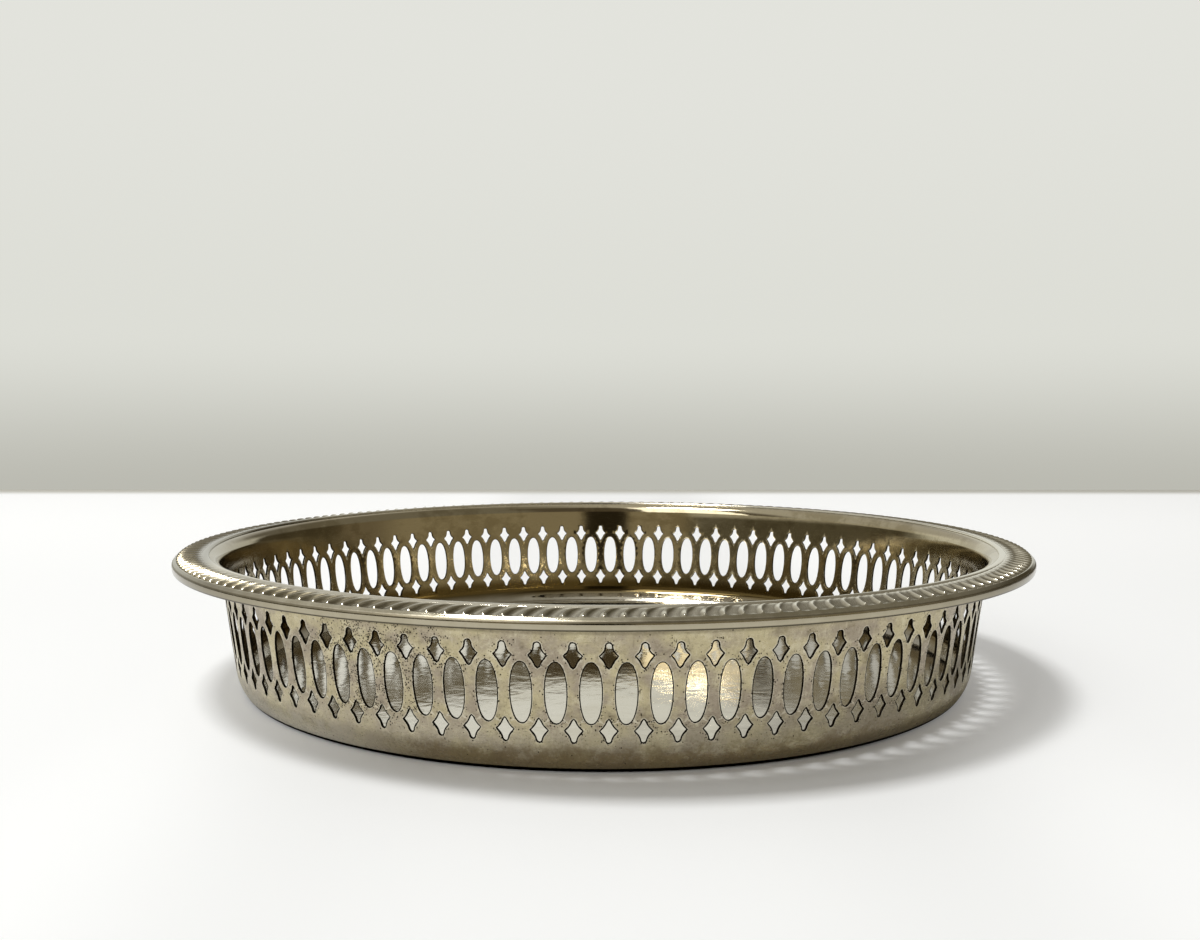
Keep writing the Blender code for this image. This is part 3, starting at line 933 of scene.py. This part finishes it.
def solder_finish():
    """Dull grey soft solder with a cast grain."""
    material, tree, shader, place = new_finish("soft_solder")
    grain = noise(tree, place, 900, 4.0, 0.6)
    colour = blend(tree, ramp(tree, grain, 0.35, 0.65), (0.30, 0.30, 0.29), (0.46, 0.46, 0.45))
    tree.links.new(colour, shader.inputs["Base Color"])
    shader.inputs["Metallic"].default_value = 0.9
    tree.links.new(ramp(tree, grain, 0.3, 0.7, 0.45, 0.65), shader.inputs["Roughness"])
    tree.links.new(bumped(tree, grain, 0.00005, 0.5), shader.inputs["Normal"])
    return material


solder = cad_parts["solder_wedge"]
for index in range(len(solder.material_slots)):
    solder.material_slots[index].material = solder_finish()
print("solder has", len(solder.material_slots), "material slot")

# %% [markdown]
# ## Tell the frame what each piece is
# The tray has no moving parts, so every piece rides on the one body, root. The pan and the
# border stand for their solids, which have the same shape with fewer and straighter faces.

# %% Join the pieces to the frame
for piece, node, plate in ((pan, "pierced_pan", "pan_plate"), (border, "rope_border", "border_plate")):
    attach(piece, "root")
    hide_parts(node)
print("pieces riding on root: pan, border")

# %% [markdown]
# ## The table
# The tray stands on a white table whose far edge, 0.79 m behind the tray's axis, is out of
# focus in the photograph. The top's colour runs into the wall's grey there, so the edge
# looks soft without any depth of field. Left and right of the tray the camera sees darker
# paint with painted light, some plain white, added to it, so the shadows there are as light
# as in the photograph. A dark ring of painted contact shadow lies where the foot touches.

# %% Lay the table
TABLE_EDGE = 0.786
TABLE_REACH = 4.0
TABLE_DROP = 0.00005
EDGE_WIDTH = 0.075
BESIDE_TRAY = (0.03, 0.17)
FOOT_LINE = 0.1266
CONTACT_SHADOW_EDGE = (0.0014, 0.0008)


def table_finish():
    """White paint, greyer at the far edge, with a share of plain white for the camera, more beside the tray
    as painted light, and a painted contact shadow at the foot.
    """
    material, tree, shader, place = new_finish("table_white")
    along = add(tree, "ShaderNodeSeparateXYZ", {0: place}).outputs
    seen = tree.nodes.new("ShaderNodeLightPath").outputs["Is Camera Ray"]
    faint = noise(tree, place, 3.0, 2.0)
    edge = ramp(tree, along["Y"], TABLE_EDGE - EDGE_WIDTH, TABLE_EDGE)
    aside = ramp(tree, maths(tree, "ABSOLUTE", along["X"]), *BESIDE_TRAY)
    from_axis = add(tree, "ShaderNodeVectorMath", {0: place}, operation="LENGTH").outputs["Value"]
    from_foot = maths(tree, "ABSOLUTE", maths(tree, "SUBTRACT", from_axis, FOOT_LINE))
    contact_shadow = ramp(tree, from_foot, *CONTACT_SHADOW_EDGE)
    paint = blend(tree, ramp(tree, faint, 0.3, 0.7), (0.90, 0.92, 0.945), (0.92, 0.94, 0.965))
    paint = coats(tree, paint, (
        (times(tree, seen, aside), (0.67, 0.685, 0.70)),    # darker paint beside the tray, with painted light added below
        (contact_shadow, (0.01, 0.01, 0.01)),                        # painted contact shadow at the foot
        (edge, (0.52, 0.51, 0.46))))                        # the wall's grey
    tree.links.new(paint, shader.inputs["Base Color"])
    shader.inputs["Roughness"].default_value = 0.6
    shader.inputs["Specular IOR Level"].default_value = 0.2
    shader.inputs["Emission Color"].default_value = (1.0, 1.0, 1.0, 1.0)
    # Painted light: a plain white glow for the camera, strongest beside the tray, lifts the shadows there.
    extra = plus(tree, ramp(tree, along["Y"], 0.1, 0.5, 0.0, 0.05), ramp(tree, aside, 0.0, 1.0, 0.0, 0.27))
    for mask in (edge, contact_shadow):
        extra = times(tree, extra, ramp(tree, mask, 0.0, 1.0, 1.0, 0.0))
    tree.links.new(times(tree, seen, extra), shader.inputs["Emission Strength"])
    return material


table_mesh = bpy.data.meshes.new("table")
table_mesh.from_pydata([(-TABLE_REACH, -TABLE_REACH, 0), (TABLE_REACH, -TABLE_REACH, 0),
                        (TABLE_REACH, TABLE_EDGE, 0), (-TABLE_REACH, TABLE_EDGE, 0)], [], [(0, 1, 2, 3)])
table_mesh.materials.append(table_finish())
table = bpy.data.objects.new("table", table_mesh)
table.location.z = -TABLE_DROP
bpy.context.scene.collection.objects.link(table)
print("table top ends at y =", TABLE_EDGE, "m")

# %% [markdown]
# ## The room and the lamps
# Metal shows what stands around it. The photograph's room is pale behind the tray and dim
# and brown on the camera's side, with a dark patch straight behind the camera, so the world
# is a gradient by direction. Higher up it is pale on the left and dim on the right and above
# the camera. Two soft lamps stand for its windows: one high on the left, which throws the
# shadow to the right, and a tall one in front on the left, which gives the far side of the
# flare its white streak.

# %% Light the tray
LAMP_WHITE = (1.0, 0.99, 0.97)


def room():
    """Pale behind the tray, dim on the camera's side and the right, and pale to the camera."""
    world = bpy.data.worlds.new("room")
    world.use_nodes = True
    tree = world.node_tree
    look = tree.nodes.new("ShaderNodeTexCoord").outputs["Generated"]
    seen = tree.nodes.new("ShaderNodeLightPath").outputs["Is Camera Ray"]
    way = add(tree, "ShaderNodeSeparateXYZ", {0: look}).outputs
    level = add(tree, "ShaderNodeVectorMath", {0: look, 1: (1.0, 1.0, 0.0)}, operation="MULTIPLY").outputs[0]
    level = add(tree, "ShaderNodeVectorMath", {0: level}, operation="NORMALIZE").outputs[0]
    side = add(tree, "ShaderNodeSeparateXYZ", {0: level}).outputs

    wall = blend(tree, ramp(tree, way["Z"], -0.085, 0.05), (0.49, 0.487, 0.435), (0.72, 0.725, 0.67))
    wall = blend(tree, ramp(tree, way["Z"], 0.0, 0.3), wall, (0.765, 0.768, 0.72))
    off_middle = maths(tree, "ABSOLUTE", plus(tree, side["X"], 0.015))
    front = blend(tree, ramp(tree, off_middle, 0.11, 0.17), (0.03, 0.024, 0.014), (0.29, 0.25, 0.17))
    left = blend(tree, ramp(tree, way["Z"], 0.13, 0.20), (0.10, 0.088, 0.058), (0.46, 0.44, 0.38))
    behind = times(tree, ramp(tree, side["Y"], 0.45, 0.80), ramp(tree, side["X"], 0.58, 0.44))
    upper = blend(tree, ramp(tree, way["X"], -0.05, 0.25), (0.52, 0.51, 0.48), (0.21, 0.195, 0.16))
    over_camera = times(tree, ramp(tree, way["Y"], -0.15, -0.45), ramp(tree, way["X"], 0.50, 0.30))
    upper = blend(tree, over_camera, upper, (0.11, 0.092, 0.065))
    around = coats(tree, front, (
        (ramp(tree, side["Y"], -0.30, 0.0), (0.18, 0.15, 0.10)),     # the right
        (ramp(tree, side["Y"], 0.1, 0.35), (0.09, 0.075, 0.045)),    # behind on the right
        (ramp(tree, side["X"], -0.45, -0.60), left),
        (behind, wall),
        (ramp(tree, way["Z"], 0.24, 0.42), upper)))
    background = tree.nodes["Background"]
    tree.links.new(blend(tree, seen, around, wall), background.inputs["Color"])
    background.inputs["Strength"].default_value = 1.0
    bpy.context.scene.world = world


def lamp(name, place, aim, width, height, power, colour):
    """A soft rectangular lamp that looks at a point."""
    data = bpy.data.lights.new(name, "AREA")
    data.shape = "RECTANGLE"
    data.size = width
    data.size_y = height
    data.energy = power
    data.color = colour
    item = bpy.data.objects.new(name, data)
    item.location = place
    item.rotation_euler = (Vector(aim) - Vector(place)).to_track_quat("-Z", "Y").to_euler()
    item.visible_camera = False
    bpy.context.scene.collection.objects.link(item)


room()
lamp("ceiling_light", (-0.955, -0.14, 3.46), (0, 0, 0), 0.80, 0.80, 72, LAMP_WHITE)
lamp("front_window", (-1.06, -1.46, 3.65), (0, 0, 3.65), 1.32, 5.9, 52, LAMP_WHITE)
bpy.context.scene.view_settings.view_transform = "Standard"
